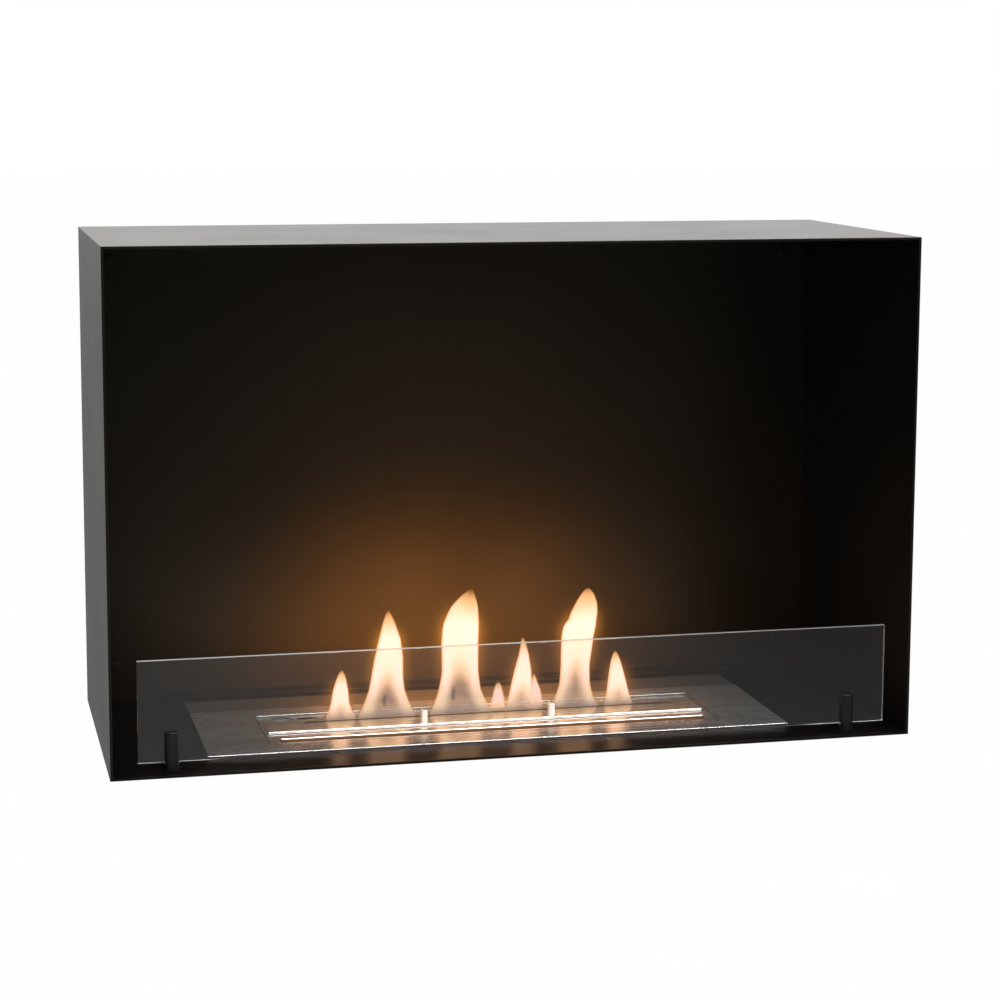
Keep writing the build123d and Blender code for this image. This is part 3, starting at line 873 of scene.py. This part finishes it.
solid_middle = 0.50 + burning.smooth(height, 0.08, 0.42) * 0.44
opacity = solid_middle + skirt * (1 - solid_middle) * 0.75
margin_fade = burning.smooth(inside, 0.0, 2.4)
tip_fade = 1 - burning.smooth(height, 0.90, 1.03)
foot_fade = burning.smooth(foot, -0.5, 5.0) * 0.75 + burning.smooth(foot, 2.0, 12.0) * 0.25
solid = opacity * margin_fade * tip_fade * foot_fade * strength
print("a flame fades at its margin, its tip and its foot")

# %% [markdown]
# ## The flame and its reflection
#
# A picture clips a flame at white, but the steel mirrors all of its light, so a reflected
# flame is brighter and more golden than the one that the camera sees. A ray that comes
# through the pane counts as glossy too, so only rays that were mirrored get that second
# flame.

# %% The seen and the mirrored flame
seen_strength, mirrored_strength = 1.48, 1.7
golden = burning.between(1.0, glow, (0.96, 0.87, 0.62, 1), blend="MULTIPLY")
gas = {"Base_Color": (0, 0, 0, 1), "Roughness": 1.0, "Specular_IOR_Level": 0.0, "Alpha": solid}
seen_flame = burning.principled(Emission_Color=glow, Emission_Strength=seen_strength, **gas)
mirrored_flame = burning.principled(
    Emission_Color=golden, Emission_Strength=mirrored_strength, **gas)
glossy_ray = burning.node("ShaderNodeLightPath", output="Is Glossy Ray")
in_a_mirror = glossy_ray * (1 - glossy_ray.output("Is Transmission Ray"))
burning.finish(burning.layered(in_a_mirror, seen_flame, mirrored_flame))

for skin in flames:
    skin.data.materials.append(burning.material)
    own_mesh(skin)
print("flame finish on", len(flames), "flames")

# %% [markdown]
# ## The light of the flames
#
# The skins glow, but too weakly to light the box. So a warm lamp nearly as tall as its
# flame stands behind each one and faces the back wall, where it throws the orange halo. A
# bare bulb would light the side walls and the steel just as much, which the picture doesn't
# show. A panel that looks one way, with its spread drawn in a little, doesn't.

# %% Warm lamps
power_per_area = 178
warm_light = (1.0, 0.345, 0.035)
behind_flame = 0.012
lamp_rise, lamp_height = 0.56, 0.7
towards_wall = Vector((0, 1, -0.06))

for name, stations in flame_stations.items():
    tall = stations[-1][0] / 1000
    broad = stations[1][2] / 1000
    along = stations[2][1] / 1000
    place = Vector((along, slot_line + behind_flame, pan_top + tall * lamp_rise))
    lamp = soft_box(
        "light_of_" + name, place, place + towards_wall, width=broad * 2,
        length=tall * lamp_height, power=power_per_area * tall * broad, colour=warm_light)
    lamp.data.spread = math.radians(150)
    lamp.visible_transmission = False
    lamp.visible_glossy = False
print("warm lamps:", len(flame_stations))

# %% [markdown]
# ## Lamps for a few pieces alone
#
# Black steel and bright steel don't want the same light. A lamp can be told which objects
# it lights. Two lamps reach only the burner's plates: one repeats the soft box for its
# highlights alone, and one stands for the flames' light from close above. Two more reach
# only the box: one lights the foot of its back and the floor behind the burner, and one
# carries the flames' halo further up the back. The last one brings out the two tabs.

# %% Lamps for the plates
def light_only(lamp, group, names, diffuse=True, glossy=False):
    """Limits a lamp to some of the pieces, and to one kind of light."""
    lit_by_lamp = bpy.data.collections.new(group)
    for name in names:
        lit_by_lamp.objects.link(frame["nodes"][name])
    lamp.light_linking.receiver_collection = lit_by_lamp
    lamp.visible_transmission = False
    lamp.visible_diffuse = diffuse
    lamp.visible_glossy = glossy


plates = (
    "burner_surround", "burner_pan", "front_air_cover", "air_grille", "shutter_plate",
    "filler_plug")
sheen = soft_box("sheen_on_steel", **big_panel, power=130)
light_only(sheen, "steel_for_sheen", plates, diffuse=False, glossy=True)

flame_row = 0.42
above_slot = Vector(((wick_low.x + wick_high.x) / 2, slot_line, pan_top + 0.08))
close = soft_box(
    "light_from_close", above_slot, above_slot - Vector((0, 0, 1)), width=flame_row,
    length=0.04, power=0.75, colour=(1.0, 0.70, 0.46))
light_only(close, "steel_for_close", plates)
print("lamps for the plates:", sheen.name, close.name)

# %% Lamps for the back, and for the tabs
behind_slot = above_slot + Vector((0, 0.02, -0.02))
on_back = soft_box(
    "light_on_back", behind_slot, behind_slot + Vector((0, 1, -0.55)), width=flame_row,
    length=0.05, power=1.2, colour=(1.0, 0.42, 0.10))
light_only(on_back, "steel_for_back", ("back_panel", "floor_panel"))

before_back = Vector((0.0, -0.30, 0.03))
on_wall = soft_box(
    "light_on_wall", before_back, before_back + Vector((0, 1, 0)), width=0.30,
    length=0.10, power=0.6, colour=(1.0, 0.64, 0.36))
light_only(on_wall, "steel_for_wall", ("back_panel",))

tabs_low, tabs_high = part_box("shutter_tabs")
tabs_middle = (tabs_low + tabs_high) / 2
before_tabs = tabs_middle + Vector((-0.05, -0.25, 0.10))
on_tabs = soft_box(
    "light_on_tabs", before_tabs, tabs_middle, width=0.2,
    length=0.1, power=0.45, colour=(1.0, 0.60, 0.32))
light_only(on_tabs, "tabs_for_light", ("shutter_tabs",))
print("lamps for the back and the tabs:", on_back.name, on_wall.name, on_tabs.name)
